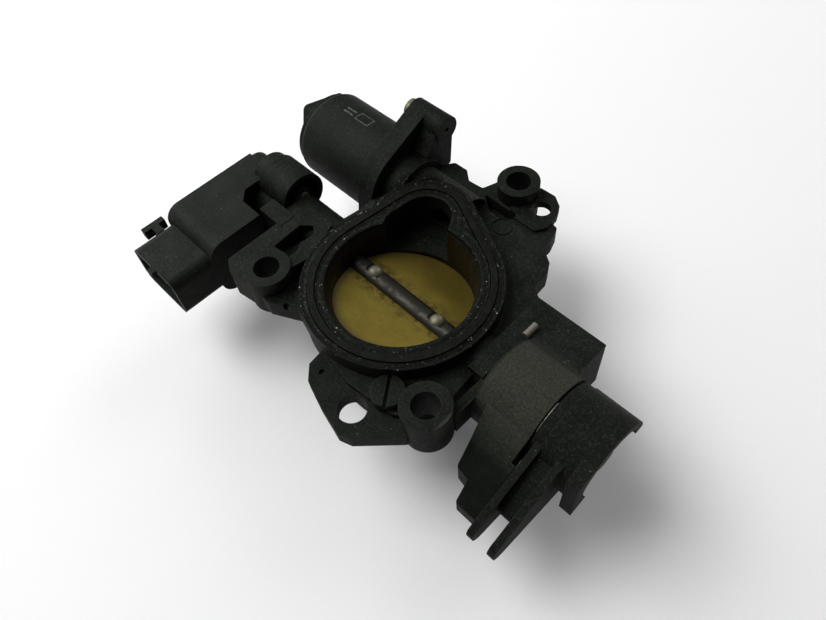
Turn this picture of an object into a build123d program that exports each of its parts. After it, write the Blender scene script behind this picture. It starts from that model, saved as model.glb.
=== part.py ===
from build123d import *
import math
import os

# Cable throttle body with an idle air motor and a throttle position sensor.
# Frame: origin on the bore axis in the sealing face, +Z up out of that face,
# +X along the throttle shaft from the sensor to the cable drum, +Y towards the third bolt.

# ---------------------------------------------------------------- bore and shaft
BORE_R = 24.0            # bore at the throttle plate
MOUTH_R = BORE_R + 1.6   # flared mouth at the sealing face
MOUTH_DEPTH = 4.0
SHAFT_Z = -12.5          # shaft axis below the sealing face
SHAFT_R = 3.75
CLOSED_TILT = 14.0       # plate angle when shut
PLATE_T = 2.0
PLATE_GAP = 0.06         # plate to bore
RUN_GAP = 0.04           # shaft in its bushes
SLIDE_GAP = 0.3          # between faces that pass each other
PLATE_SCREW_R = 2.0
PLATE_SCREW_X = 15.0
PLATE_SCREW_HEAD_R = 2.9
SCREW_SEAT_TOP = 3.15    # flats on the shaft under the screw ends
SCREW_SEAT_LOW = 2.95

# ---------------------------------------------------------------- flange, rim and bolts
RIM_R = MOUTH_R + 8.2
PORT_X, PORT_Y = -13.7, 24.8
PORT_R = 9.2
PORT_RIM_R = 17.4
PORT_FLOOR_Z = -15.0
PORT_WALL = 2.2
PORT_FLOOR_T = 2.5
PORT_SHOULDER = (-15.2, 17.6, 8.6)   # X, Y and radius of the left side of the port
FLANGE_TOP_Z = -6.0
FLANGE_T = 7.0
BOLT_X, BOLT_Y = 37.5, -27.0     # the two lower bolts are mirrored in X
TOP_BOLT_X, TOP_BOLT_Y = -0.4, 58.7
BOSS_R = 8.1
TOP_BOSS_R = 7.7
BOSS_DEPTH = 15.0
BOLT_HOLE_R = 4.5
TAB_TOP_Z = -8.0
TAB_T = 5.0
LOW_TAB_X, LOW_TAB_Y = 19.0, -40.5
LOW_TAB_HOLE_R = 4.7
HIGH_TAB_X, HIGH_TAB_Y = 11.4, 57.6
HIGH_TAB_TOP_Z = -5.0
HIGH_TAB_T = 3.0
HIGH_TAB_HOLE_R = 3.4
GROOVE_IN = 3.0          # mouth edge to seal groove
GROOVE_W = 2.8
GROOVE_DEPTH = 2.2
SEAL_PROUD = 0.4
SEAL_SIDE_GAP = 0.25
PLUG_X, PLUG_Y, PLUG_TOP_Z = 24.4, -30.2, -3.2
PLUG_R = 5.4
PLUG_T = 4.0

# ---------------------------------------------------------------- barrel and spigot
BARREL_R = BORE_R + 7.0
BARREL_END_Z = -30.0
SPIGOT_R = BORE_R + 4.0
SPIGOT_END_Z = -50.0
SPIGOT_LEAD_IN = 1.0      # chamfer round the spigot's end
BORE_EXIT_FLARE = 1.5

# ---------------------------------------------------------------- bushes and shaft seals
BUSH_R = 6.2
BUSH_L = 9.0
BUSH_X = BORE_R + 4.0    # inner end of each bush
LIP_SEAL_T = 3.0
BUSH_TUBE_R = 9.5        # body tube round the right bush
BORE_CLEAR = 0.3         # shaft to its hole between bore and bush

# ---------------------------------------------------------------- spring drum, lever and hub
DRUM_R = 15.5
DRUM_WALL = 2.2
DRUM_X0, DRUM_X1 = 44.0, 64.6
SPRING_TUBE_R = 7.2
SPRING_TUBE_X1 = DRUM_X1 - 4.6
SPRING_WIRE_R = 0.8
SPRING_R = 10.2
SPRING_TURNS = 5
SPRING_PITCH = 2.6
LEVER_T = 1.4
LEVER_R = 12.6
TAB_ANGLE_0, TAB_ANGLE_1 = 96.0, 136.0     # ends of the lever's drive tab
TAB_EDGE_GAP = 0.1
FINGER_ANGLE = 280.0     # closed position of the stop finger, from +Y towards +Z
FINGER_R = 20.0
FINGER_HALF_W = 3.0
STOP_R = 17.5            # shaft axis to the stop screw
OPEN_TRAVEL = 76.0
HUB_R = 15.3
SKIRT_R = 14.9           # hub next to the drum
SKIRT_X1 = DRUM_X1 + 4.0
HUB_X1 = DRUM_X1 + 19.6
HUB_WALL = 3.0
HOOD_X0 = HUB_X1 - 6.7   # from here outwards the hub is open below
HOOD_RIGHT_DZ, HOOD_LEFT_DZ = 2.3, 10.6
HORN_R = 42.4
HORN_ANGLE = 192.0
CABLE_GROOVE_W = 5.4
CABLE_FLANGE_T = 2.4
GROOVE_HORN_R = 31.5
NUT_R = 5.6
NUT_T = 4.5
STOP_SCREW_R = 2.0
STOP_SCREW_L = 12.0
STOP_SCREW_GAP = 0.05    # screw to the finger when shut
SHAFT_FLAT = 3.0         # half width across the flats under lever and hub
TANG_FLAT = 2.4          # half width of the flats under the sensor rotor
PIN_R = 1.3
PIN_X, PIN_Y0, PIN_Y1 = 42.2, 11.6, 16.9

BOX_X0, BOX_X1 = 36.0, DRUM_X1 - 2.6
BOX_Y1 = 26.0
BOX_TOP_Z, BOX_BOTTOM_Z = -3.0, -25.0
GUARD_X0, GUARD_X1 = DRUM_X1 - 17.1, DRUM_X1 + 1.6
GUARD_T = 5.0

# ---------------------------------------------------------------- position sensor
SENSOR_X0, SENSOR_X1 = -86.5, -58.0
SENSOR_MOUNT_X = -72.0
SENSOR_Y0, SENSOR_Y1 = -37.0, 9.0
SENSOR_STEP_Y = -14.0
SENSOR_Z0, SENSOR_Z1 = -25.0, 0.0
SENSOR_WALL = 2.0
SENSOR_LID_T = 1.8
SENSOR_LID_INSET = 0.4
SENSOR_CORNER = 6.0
SENSOR_STEP_X = -68.0
CONN_Y0 = -53.0
CONN_X0, CONN_X1 = -84.5, -58.0
CONN_Z0, CONN_Z1 = -21.5, -4.0
CONN_WALL = 1.8
BLADE_PITCH = 5.2
BLADE_W, BLADE_T = 2.8, 0.8
NUB_Z0, NUB_Z1 = -9.0, -5.0      # small latch block beside the plug
LUG_Y, LUG_DZ = 4.3, 8.6         # upper sensor screw, from the shaft axis
LUG_R = 9.0
LUG_X1 = -56.5
LEFT_BOSS_R = 10.0
CARRIER_GAP = 0.2        # sensor case to its carrier, bridged by the seal ring
SENSOR_SCREW_R = 1.8
SENSOR_HEAD_R = 2.8
ROTOR_R = 5.5
TRACK_X0, TRACK_T = -83.4, 1.2
TRACK_Y0, TRACK_Y1 = -31.0, 6.2
WIPER_T = 0.6
RING_R, RING_INNER_R = 7.0, 5.2  # seal ring round the shaft end
RING_DEPTH = 1.0

# ---------------------------------------------------------------- idle air motor
MOTOR_Y, MOTOR_Z = 38.0, -10.0
CAN_R = 17.0
CAN_X0, CAN_X1 = -80.5, -46.0
CAN_WALL = 1.2
PAD_X0, PAD_X1 = -41.5, -38.0
EAR_DY, EAR_DZ = 15.2, 20.2      # motor screws, from the motor axis
EAR_R = 5.0
EAR_BOSS_X1 = -30.0
EAR_SCREW_R = 1.9
EAR_HEAD_R, EAR_HEAD_T = 3.6, 2.6
DUCT_R = 13.0
CHAMBER_R = 8.0
SEAT_X0, SEAT_X1 = -21.5, -18.0
SEAT_R = 4.6
PINTLE_R = 6.2
PINTLE_TRAVEL = 6.0
PINTLE_TIP_R = 2.6
CONE_L = 7.0
SEAT_GAP = 0.05          # cone to seat when shut
NOSE_L = 4.0             # motor nose inside the valve chamber
STEM_R = 2.4
SPRING_END_GAP = 0.5
COIL_R, COIL_L = 10.2, 26.0
MAGNET_R, MAGNET_L = 9.8, 24.0
JOURNAL_R = 4.6
BEARING_R, BEARING_GAP = 7.5, 0.06
CHANNEL_R = 4.2          # idle feed from the bore
CHANNEL_TUBE_R = 6.4
REAR_W, REAR_H, REAR_L = 20.0, 24.0, 6.5
REAR_WALL = 1.8
REAR_TURN = 15.0


def cyl_x(radius, x0, x1, y=0.0, z=SHAFT_Z):
    """Cylinder along X between two stations."""
    return Pos((x0 + x1) / 2, y, z) * Rot(0, 90, 0) * Cylinder(radius, x1 - x0)


def cyl_z(radius, z0, z1, x=0.0, y=0.0):
    """Cylinder along Z between two heights."""
    return Pos(x, y, (z0 + z1) / 2) * Cylinder(radius, z1 - z0)


def ring_x(outer, inner, x0, x1, y=0.0, z=SHAFT_Z):
    """Tube along X."""
    return cyl_x(outer, x0, x1, y, z) - cyl_x(inner, x0 - 1, x1 + 1, y, z)


def block(x0, x1, y0, y1, z0, z1):
    """Box given by its six faces."""
    return Pos((x0 + x1) / 2, (y0 + y1) / 2, (z0 + z1) / 2) * Box(x1 - x0, y1 - y0, z1 - z0)


def rod(radius, start, end):
    """Round bar between two points."""
    line = Line(start, end)
    return extrude(Plane(origin=start, z_dir=line % 0) * Circle(radius), line.length)


def prism_z(points, z0, z1, corner=0.0):
    """Upright prism of a polygon, with its corners rounded if asked."""
    face = make_face(Polyline(*points, close=True))
    if corner:
        face = fillet(face.vertices(), corner)
    return extrude(Pos(0, 0, z0) * face, z1 - z0)


def prism_x(points, x0, x1, corner=0.0):
    """Prism along X of a polygon given in Y and Z."""
    face = make_face(Polyline(*points, close=True))
    if corner:
        face = fillet(face.vertices(), corner)
    return Pos(x0, 0, 0) * extrude(Plane.YZ * face, x1 - x0)


def rounded_block_x(x0, x1, y0, y1, z0, z1, corner):
    """Box with its four edges along X rounded."""
    face = Pos((y0 + y1) / 2, (z0 + z1) / 2) * RectangleRounded(y1 - y0, z1 - z0, corner)
    return Pos(x0, 0, 0) * extrude(Plane.YZ * face, x1 - x0)


def pear(bore_radius, port_radius, z0, z1):
    """Upright solid round the bore and the idle port with straight flanks."""
    edges = Circle(bore_radius).edges() + (Pos(PORT_X, PORT_Y) * Circle(port_radius)).edges()
    return extrude(Pos(0, 0, z0) * make_hull(edges), z1 - z0)


def polar(radius, angle):
    """Point round the shaft axis in Y and Z, the angle from +Y towards +Z."""
    a = math.radians(angle)
    return radius * math.cos(a), SHAFT_Z + radius * math.sin(a)


BOLTS = [(BOLT_X, BOLT_Y, BOSS_R), (-BOLT_X, BOLT_Y, BOSS_R), (TOP_BOLT_X, TOP_BOLT_Y, TOP_BOSS_R)]
LUG_Z = SHAFT_Z + LUG_DZ
SENSOR_SCREWS = [(LUG_Y, LUG_Z), (-LUG_Y, SHAFT_Z - LUG_DZ)]
MOTOR_EARS = [(MOTOR_Y + EAR_DY, MOTOR_Z + EAR_DZ), (MOTOR_Y - EAR_DY, MOTOR_Z - EAR_DZ)]
FLANGE_BOTTOM_Z = FLANGE_TOP_Z - FLANGE_T
LEVER_X0 = DRUM_X1 + SLIDE_GAP
LEVER_X1 = LEVER_X0 + LEVER_T
SKIRT_X0 = DRUM_X1 + 0.6
HUB_FLOOR_X = HUB_X1 - 8.0
SHAFT_X0 = SENSOR_MOUNT_X - 8.0
CONE_SLOPE = (PINTLE_R - PINTLE_TIP_R) / CONE_L
CONE_X0 = SEAT_X0 - SEAT_GAP - (PINTLE_R - SEAT_R) / CONE_SLOPE - PINTLE_TRAVEL
SHAFT_X1 = HUB_FLOOR_X + NUT_T + 2.0


# ================================================================ throttle body
def flange_plate():
    """Main flange with its scalloped right edge, and the two lower tabs."""
    main = [(-20, -29), (-6, -33), (12, -36), (30, -34), (44, -24), (39, -17), (37.4, 0), (37.4, 26),
            (31.6, 29.8), (30.8, 32.3), (30.4, 37.2), (28.3, 41.2), (25.6, 43), (22.6, 44), (22.4, 49.6),
            (20.6, 54.8), (17.4, 55.6), (14.6, 52), (6.2, 52), (6.2, 60), (0, 65.5), (-8, 62),
            (-11.5, 52), (-17.8, 51.5), (-22, 55), (-28, 55), (-31, 51), (-38, 46), (-38, 14),
            (-40, 0), (-44, -20), (-38, -34), (-30, -34)]
    plate = prism_z(main, FLANGE_BOTTOM_Z, FLANGE_TOP_Z, 1.2)
    low_tab = [(-3.5, -33), (-2.8, -39.2), (1.7, -43.5), (10.8, -46.4), (21.8, -49.0),
               (26, -47.5), (38, -35.5), (30, -26), (0, -26)]
    plate += prism_z(low_tab, TAB_TOP_Z - TAB_T, TAB_TOP_Z, 1.0)
    high_tab = [(0, 58), (4.6, 65.2), (11.2, 65.4), (15.4, 62.6), (17.4, 58.8), (18.4, 52),
                (16, 48), (4, 48)]
    plate += prism_z(high_tab, HIGH_TAB_TOP_Z - HIGH_TAB_T, HIGH_TAB_TOP_Z, 1.5)
    return plate


def left_wing():
    """Raised pad round the left bolt and the walls towards the sensor."""
    pad = [(-37.5, -35.1), (-46, -36.4), (-51, -33.5), (-51, -2), (-47, 1), (-36, 1),
           (-30.5, -14), (-32, -22)]
    wing = prism_z(pad, FLANGE_BOTTOM_Z, -1.0, 1.2)
    wing += block(-61, -49, -12, -5.5, FLANGE_BOTTOM_Z, -0.8)
    pocket = [(-43.6, -19.2), (-44.2, -7), (-40.5, -4), (-37.2, -6.5), (-38, -12), (-35.7, -15.5),
              (-36, -18.8)]
    return wing - prism_z(pocket, -10.5, 1, 0.6)


def sensor_carrier():
    """Boss round the left shaft end, with the lugs for the two sensor screws."""
    x0 = SENSOR_MOUNT_X + CARRIER_GAP
    carrier = cyl_x(LEFT_BOSS_R, x0, -26)
    carrier += cyl_x(LUG_R, x0, LUG_X1, LUG_Y, LUG_Z)
    carrier += cyl_x(5.0, x0, LUG_X1, *SENSOR_SCREWS[1])
    well = cyl_x(LUG_R - 1.6, LUG_X1 - 4, LUG_X1 + 1, LUG_Y, LUG_Z)
    well -= cyl_x(3.4, LUG_X1 - 5, LUG_X1 + 2, LUG_Y, LUG_Z)
    return carrier - well


def motor_carrier():
    """Pad, valve duct and screw bosses of the idle air motor."""
    disc = Circle(DUCT_R + 4.5).edges()
    for sign in (1, -1):
        disc += (Pos(sign * EAR_DY, sign * EAR_DZ) * Circle(EAR_R)).edges()
    pad = Plane.YZ * Pos(MOTOR_Y, MOTOR_Z) * make_hull(disc)
    carrier = Pos(PAD_X0, 0, 0) * extrude(pad, PAD_X1 - PAD_X0)
    carrier += cyl_x(DUCT_R, PAD_X1, -30, MOTOR_Y, MOTOR_Z)
    carrier += cyl_x(10.5, -30, -6, MOTOR_Y, MOTOR_Z)
    carrier += cyl_x(EAR_R, PAD_X0, EAR_BOSS_X1, *MOTOR_EARS[0])
    carrier += cyl_x(EAR_R, PAD_X0, EAR_BOSS_X1, *MOTOR_EARS[1])
    web = [(49.5, 12), (57.0, 7.5), (55.5, -8), (42, -8), (43, 3)]
    carrier += prism_x(web, PAD_X1, -31, 0.8)
    foot = [(22.8, -35), (18, -30), (24, -10), (38, -22)]
    carrier += prism_x(foot, PAD_X1, -34, 0.8)
    return carrier


def bypass_ends():
    """Idle air channel from the valve chamber to the bore below the plate."""
    return (-31, MOTOR_Y - 4, MOTOR_Z - 4), (-20, 8, -26)


def guard():
    """Sloping guard wall beside the cable horn."""
    x0 = GUARD_X0
    outline = [(x0, -8), (x0 + 3.3, -22), (x0 + 4.9, -30), (x0 + 9.8, -30.8), (x0 + 10.8, -37.2),
               (GUARD_X1, -37.2), (GUARD_X1, -8)]
    top = [(-11, -2.6), (-38, -19.6), (-38, -19.6 - GUARD_T), (-34, -26), (-11, -13)]
    wall = prism_z(outline, -50, 10, 0.8) & prism_x(top, GUARD_X0 - 1, GUARD_X1 + 1)
    gusset = [(-10, -8), (-33, -20), (-33, -23), (-12, -26), (-8, -20)]
    return wall + prism_x(gusset, x0 + 10.5, x0 + 13.5, 0.8)


def stop_lug(angle, x0, x1, near, far):
    """Block beside the stop finger when the finger points along the angle."""
    half_w = FINGER_HALF_W
    lug = Pos(0, STOP_R, half_w + (near + far) / 2) * Box(x1 - x0, 2 * half_w, far - near)
    return Pos((x0 + x1) / 2, 0, SHAFT_Z) * Rot(angle, 0, 0) * lug


def stop_screw_hole():
    hole = Pos(0, STOP_R, FINGER_HALF_W + 6.5) * Cylinder(STOP_SCREW_R, 14)
    return Pos((LEVER_X0 + LEVER_X1) / 2, 0, SHAFT_Z) * Rot(FINGER_ANGLE, 0, 0) * hole


def throttle_body():
    body = pear(RIM_R, PORT_RIM_R, FLANGE_BOTTOM_Z, 0)
    body += flange_plate()
    body += left_wing()
    body += sensor_carrier()
    body += cyl_z(BARREL_R, BARREL_END_Z, FLANGE_BOTTOM_Z + 1)
    body += cyl_z(SPIGOT_R, SPIGOT_END_Z + SPIGOT_LEAD_IN, BARREL_END_Z + 1)
    lead_in = Cone(SPIGOT_R - SPIGOT_LEAD_IN, SPIGOT_R, SPIGOT_LEAD_IN)
    body += Pos(0, 0, SPIGOT_END_Z + SPIGOT_LEAD_IN / 2) * lead_in
    for x, y, radius in BOLTS:
        body += cyl_z(radius, -BOSS_DEPTH, 0, x, y)
    body += motor_carrier()
    start, end = bypass_ends()
    body += rod(CHANNEL_TUBE_R, start, end)
    body += port_prism(PORT_WALL, PORT_FLOOR_Z - PORT_FLOOR_T, FLANGE_BOTTOM_Z + 1)
    body -= pear(RIM_R + 0.01, PORT_RIM_R, 0, 30)
    # right side: bush tube, spring drum, box and guard
    body += cyl_x(BUSH_TUBE_R, BORE_R + 2, DRUM_X0 + 1)
    drum = cyl_x(DRUM_R, DRUM_X0, DRUM_X1)
    drum += block(BOX_X0, BOX_X1, 2, BOX_Y1, BOX_BOTTOM_Z, BOX_TOP_Z)
    drum += guard()
    drum -= cyl_x(FINGER_R + 0.8, DRUM_X1, GUARD_X1 + 1)
    drum += stop_lug(FINGER_ANGLE, BOX_X1 - 4, LEVER_X1 + 2.5, 2.5, 9.0)
    drum -= stop_screw_hole()
    drum -= block(BOX_X0 + 5, BOX_X1 - 3, DRUM_R + 1.5, BOX_Y1 - 3, BOX_BOTTOM_Z - 1, BOX_TOP_Z - 3)
    body += drum
    body += block(41.6, 44.6, -22, 2, -15, -4.6)
    body += block(36, 42, -7.5, 2, -14, -3.8)
    # spring chamber, leaving the tube that carries the spring
    chamber = cyl_x(DRUM_R - DRUM_WALL, DRUM_X0 + DRUM_WALL, DRUM_X1 + 1)
    chamber -= cyl_x(SPRING_TUBE_R, DRUM_X0, SPRING_TUBE_X1)
    body -= chamber
    return cut_body_holes(body)


def cut_body_holes(body):
    """Bore, port, shaft line, bolt holes, seal groove and small pockets."""
    body -= cyl_z(BORE_R, SPIGOT_END_Z - 1, 1)
    flare = Pos(0, 0, -MOUTH_DEPTH / 2) * Cone(BORE_R, MOUTH_R, MOUTH_DEPTH)
    body -= flare
    body -= port_prism(0, PORT_FLOOR_Z, 1)
    exit_flare = Cone(BORE_R + BORE_EXIT_FLARE, BORE_R, 2 * BORE_EXIT_FLARE)
    body -= Pos(0, 0, SPIGOT_END_Z + BORE_EXIT_FLARE) * exit_flare
    groove = pear(MOUTH_R + GROOVE_IN + GROOVE_W, PORT_R + GROOVE_IN + GROOVE_W, -GROOVE_DEPTH, 1)
    groove -= pear(MOUTH_R + GROOVE_IN, PORT_R + GROOVE_IN, -GROOVE_DEPTH - 1, 2)
    body -= groove
    for x, y, _ in BOLTS:
        body -= cyl_z(BOLT_HOLE_R, -BOSS_DEPTH - 8, 1, x, y)
    body -= cyl_z(LOW_TAB_HOLE_R, -30, 0, LOW_TAB_X, LOW_TAB_Y)
    body -= cyl_z(HIGH_TAB_HOLE_R, -30, 0, HIGH_TAB_X, HIGH_TAB_Y)
    body -= cyl_z(PLUG_R, PLUG_TOP_Z - PLUG_T, 1, PLUG_X, PLUG_Y)
    body -= cyl_z(PLUG_R - 2, PLUG_TOP_Z - PLUG_T - 4, 0, PLUG_X, PLUG_Y)
    body -= cyl_z(1.0, -9, 0, 2.5, -38.4)
    body -= cyl_z(1.0, -8, 0, -24.5, -30.6)
    pocket = [(-9.5, 50.5), (-2.5, 45.5), (4.5, 45), (7, 48.8), (6, 50)]
    body -= prism_z(pocket, -11, -1, 0.6)
    mark = cyl_z(4.0, FLANGE_TOP_Z - 0.4, 0, 6.3, 42.6) - cyl_z(3.2, -8, 1, 6.3, 42.6)
    body -= mark
    # shaft line
    body -= cyl_x(SHAFT_R + 0.6, SENSOR_MOUNT_X - 1, DRUM_X1 + 1)
    for side in (1, -1):
        x_in = side * (BORE_R - 4)
        x_out = side * (BUSH_X + BUSH_L + LIP_SEAL_T)
        body -= cyl_x(BUSH_R, min(side * BUSH_X, x_out), max(side * BUSH_X, x_out))
        body -= cyl_x(SHAFT_R + BORE_CLEAR, min(x_in, side * BUSH_X), max(x_in, side * BUSH_X))
    body -= cyl_x(BUSH_R, DRUM_X0 - 5, DRUM_X0 + 5) - cyl_x(BUSH_R + 1, DRUM_X0 - 6, DRUM_X0 + 6)
    for y, z in SENSOR_SCREWS:
        body -= cyl_x(SENSOR_SCREW_R, SENSOR_MOUNT_X - 1, LUG_X1 + 1, y, z)
    body -= cut_idle_channel()
    body -= pin_shape()
    for y, z in MOTOR_EARS:
        body -= cyl_x(EAR_SCREW_R, PAD_X0 - 1, EAR_BOSS_X1 - 3, y, z)
    body -= cyl_x(0.9, EAR_BOSS_X1 - 4, EAR_BOSS_X1 + 1, *MOTOR_EARS[0])
    return body


def port_prism(grow, z0, z1):
    """The idle port's plan, wider on its left side, grown outwards."""
    end = (Pos(PORT_X, PORT_Y) * Circle(PORT_R + grow)).edges()
    throat = make_hull(end + (Pos(PORT_X / 2, PORT_Y / 2) * Circle(PORT_R + grow)).edges())
    x, y, radius = PORT_SHOULDER
    shoulder = make_hull(end + (Pos(x, y) * Circle(radius + grow)).edges())
    height = z1 - z0
    return extrude(Pos(0, 0, z0) * throat, height) + extrude(Pos(0, 0, z0) * shoulder, height)


def cut_idle_channel():
    """Valve chamber, seat bore, cross channel to the port, and the feed from the bore."""
    channel = cyl_x(CHAMBER_R, PAD_X0 - 1, SEAT_X0, MOTOR_Y, MOTOR_Z)
    channel += cyl_x(SEAT_R, SEAT_X0 - 1, -11, MOTOR_Y, MOTOR_Z)
    channel += rod(SEAT_R, (PORT_X - 0.8, MOTOR_Y, MOTOR_Z), (PORT_X - 0.8, PORT_Y + 3, MOTOR_Z + 1))
    start, end = bypass_ends()
    channel += rod(CHANNEL_R, start, end)
    return channel


def pin_shape():
    """Steel pin that lies in the top of the box, across the shaft."""
    return rod(PIN_R, (PIN_X, PIN_Y0, BOX_TOP_Z + 0.5), (PIN_X, PIN_Y1, BOX_TOP_Z + 0.5))


# ================================================================ shaft line
def face_seal():
    low = -GROOVE_DEPTH
    outer = GROOVE_IN + GROOVE_W - SEAL_SIDE_GAP
    inner = GROOVE_IN + SEAL_SIDE_GAP
    seal = pear(MOUTH_R + outer, PORT_R + outer, low, SEAL_PROUD)
    return seal - pear(MOUTH_R + inner, PORT_R + inner, low - 1, 1)


def bush(side):
    x0 = min(side * BUSH_X, side * (BUSH_X + BUSH_L))
    return ring_x(BUSH_R, SHAFT_R + RUN_GAP, x0, x0 + BUSH_L)


def shaft_seal(side):
    inner = side * (BUSH_X + BUSH_L)
    outer = side * (BUSH_X + BUSH_L + LIP_SEAL_T)
    return ring_x(BUSH_R, SHAFT_R + RUN_GAP, min(inner, outer), max(inner, outer))


def screw_frame(x):
    """Frame of a plate screw, its axis square to the shut plate."""
    return Pos(x, 0, SHAFT_Z) * Rot(-CLOSED_TILT, 0, 0)


def throttle_shaft():
    shaft = cyl_x(SHAFT_R, SHAFT_X0, SHAFT_X1)
    slot = Pos(0, 0, SHAFT_Z) * Rot(-CLOSED_TILT, 0, 0) * Box(2 * BORE_R, 4 * SHAFT_R, PLATE_T)
    shaft -= slot
    for x in (-PLATE_SCREW_X, PLATE_SCREW_X):
        shaft -= screw_frame(x) * Cylinder(PLATE_SCREW_R, 4 * SHAFT_R)
        shaft -= screw_frame(x) * Pos(0, 0, SCREW_SEAT_TOP + 2.5) * Box(6.4, 9, 5)
        shaft -= screw_frame(x) * Pos(0, 0, -SCREW_SEAT_LOW - 2.5) * Box(6.4, 9, 5)
    flat_x0 = SHAFT_X0 - 1
    for sign in (1, -1):
        tang_low, tang_high = sorted((sign * TANG_FLAT, sign * 6))
        flat_low, flat_high = sorted((sign * SHAFT_FLAT, sign * 6))
        shaft -= block(flat_x0, SENSOR_MOUNT_X - 1, -6, 6, SHAFT_Z + tang_low, SHAFT_Z + tang_high)
        shaft -= block(LEVER_X0, HUB_FLOOR_X, flat_low, flat_high, SHAFT_Z - 6, SHAFT_Z + 6)
    return shaft


def throttle_plate():
    disc = cyl_z(BORE_R - PLATE_GAP, SHAFT_Z - 12, SHAFT_Z + 12)
    slab = Pos(0, 0, SHAFT_Z) * Rot(-CLOSED_TILT, 0, 0) * Box(60, 60, PLATE_T)
    plate = disc & slab
    for x in (-PLATE_SCREW_X, PLATE_SCREW_X):
        plate -= screw_frame(x) * Cylinder(PLATE_SCREW_R, 10)
    return plate


def plate_screws():
    """Two screws through shaft and plate: slotted heads below, peened ends above."""
    screws = []
    for x in (-PLATE_SCREW_X, PLATE_SCREW_X):
        height = SCREW_SEAT_TOP + SCREW_SEAT_LOW
        screw = Pos(0, 0, (SCREW_SEAT_TOP - SCREW_SEAT_LOW) / 2) * Cylinder(PLATE_SCREW_R, height)
        dome = Pos(0, 0, SCREW_SEAT_TOP - 1.2) * Sphere(PLATE_SCREW_HEAD_R)
        dome &= Pos(0, 0, SCREW_SEAT_TOP + 2.5) * Box(9, 9, 5)
        head = Pos(0, 0, -SCREW_SEAT_LOW - 0.75) * Cylinder(3.0, 1.5)
        head -= Pos(0, 0, -SCREW_SEAT_LOW - 1.3) * Box(8, 0.9, 1.0)
        screws.append(screw_frame(x) * (screw + dome + head))
    return Compound(children=screws)


def return_spring():
    """Torsion spring round the bush tube, with a tang at each end."""
    length = SPRING_TURNS * SPRING_PITCH
    x0 = DRUM_X0 + DRUM_WALL + 2.0
    path = Helix(SPRING_PITCH, length, SPRING_R)
    coil = sweep(Plane(path @ 0, z_dir=path % 0) * Circle(SPRING_WIRE_R), path, is_frenet=True)
    coil = Pos(x0, 0, SHAFT_Z) * Rot(0, 90, 0) * coil
    start = Pos(x0, 0, SHAFT_Z) * Rot(0, 90, 0) * Pos(SPRING_R, 0, 0)
    y0, z0 = start.position.Y, start.position.Z
    coil += rod(SPRING_WIRE_R, (x0 + length, y0, z0), (LEVER_X0 - 0.05, y0, z0))
    coil += Pos(x0 + length, y0, z0) * Sphere(SPRING_WIRE_R)
    coil += rod(SPRING_WIRE_R, (DRUM_X0 + DRUM_WALL, y0, z0), (x0, y0, z0))
    coil += Pos(x0, y0, z0) * Sphere(SPRING_WIRE_R)
    return coil


def shaft_flats(x0, x1):
    """The double-D section that keys the lever and the hub to the shaft."""
    between = block(x0 - 1, x1 + 1, -SHAFT_FLAT, SHAFT_FLAT, SHAFT_Z - 6, SHAFT_Z + 6)
    return cyl_x(SHAFT_R, x0, x1) & between


def lever_arm(angle, reach, half_w):
    """Flat arm of the lever plate, square to the shaft."""
    arm = Pos(0, reach / 2, 0) * Box(LEVER_T, reach, 2 * half_w)
    return Pos((LEVER_X0 + LEVER_X1) / 2, 0, SHAFT_Z) * Rot(angle, 0, 0) * arm


def drive_tab():
    """Sector of the lever plate that fills the slot in the hub's skirt."""
    reach = SKIRT_R - TAB_EDGE_GAP
    steps = [TAB_ANGLE_0, (TAB_ANGLE_0 + TAB_ANGLE_1) / 2, TAB_ANGLE_1]
    (y0, z0), (y1, z1), (y2, z2) = [polar(reach, angle) for angle in steps]
    edge = ThreePointArc((y0, z0), (y1, z1), (y2, z2)) + Polyline((y2, z2), (0, SHAFT_Z), (y0, z0))
    return Pos(LEVER_X0, 0, 0) * extrude(Plane.YZ * make_face(edge), LEVER_T)


def lever_arms():
    return lever_arm(FINGER_ANGLE, FINGER_R, FINGER_HALF_W) + drive_tab()


def lever_plate():
    """Steel plate on the shaft flats, with the stop finger and the drive tab."""
    lever = cyl_x(LEVER_R, LEVER_X0, LEVER_X1) + lever_arms()
    return lever - shaft_flats(LEVER_X0 - 1, LEVER_X1 + 1)


def horn_outline(tip_radius, root_radius, tip_half_w):
    """Section of the horn in Y and Z: a round root drawn out to a blunt tip."""
    tip_y, tip_z = polar(tip_radius - tip_half_w, HORN_ANGLE)
    root = Pos(0, SHAFT_Z) * Circle(root_radius)
    tip = Pos(tip_y, tip_z) * Circle(tip_half_w)
    return make_hull(root.edges() + tip.edges())


def hood_cut():
    """Section of the hub's open lower half, under the hood that covers the nut."""
    return [(30, SHAFT_Z + HOOD_RIGHT_DZ + 6), (HUB_R, SHAFT_Z + HOOD_RIGHT_DZ),
            (-HUB_R - 2, SHAFT_Z - HOOD_LEFT_DZ), (-30, SHAFT_Z - HOOD_LEFT_DZ - 5),
            (-30, -45), (30, -45)]


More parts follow.
